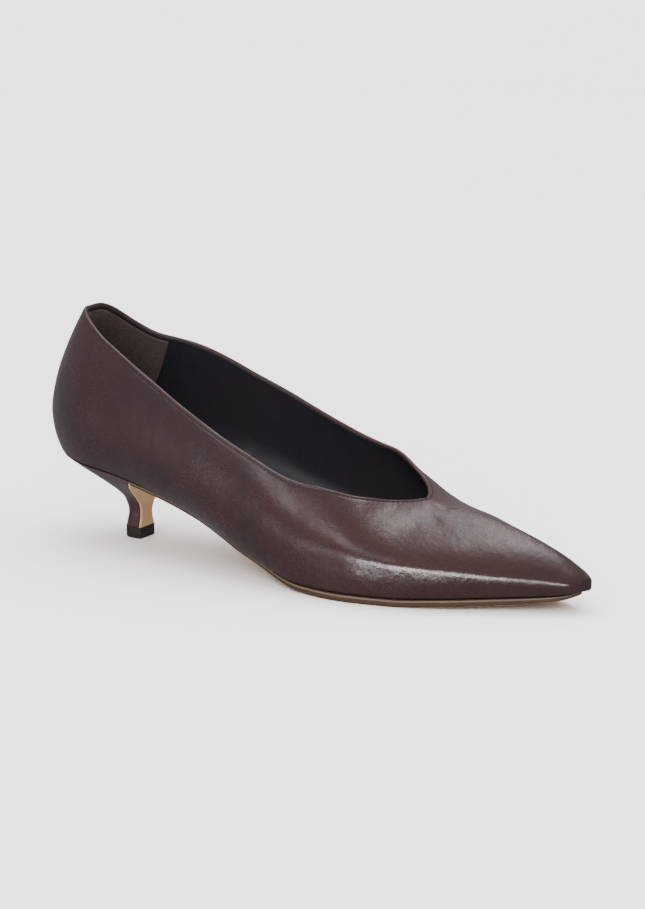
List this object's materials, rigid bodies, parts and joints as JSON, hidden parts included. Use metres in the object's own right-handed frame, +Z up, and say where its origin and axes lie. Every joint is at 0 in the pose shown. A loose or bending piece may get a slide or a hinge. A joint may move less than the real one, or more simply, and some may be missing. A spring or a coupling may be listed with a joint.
{
  "type": "heeled shoe",
  "caption": "Right court shoe with a long pointed toe, a pointed throat, a thin leather sole and a small curved heel.",
  "frame": {"origin": "centre of the overall box in plan, on the floor plane under the heel's top lift and the tread", "axes": "+X towards the toe tip, +Y towards the inner side of the foot, +Z up"},
  "size_m": [0.262, 0.0806, 0.0993],
  "materials": {
    "upper_leather": "smooth, soft gloss",
    "sock": "smooth, soft sheen",
    "sole_leather": "satin",
    "heel_cover": "smooth, soft gloss",
    "lift_rubber": "matt"
  },
  "bodies": {
    "root": {"upper": "upper_leather", "insole": "sock", "outsole": "sole_leather", "heel": "heel_cover", "top_lift": "lift_rubber"}
  },
  "joints": []
}
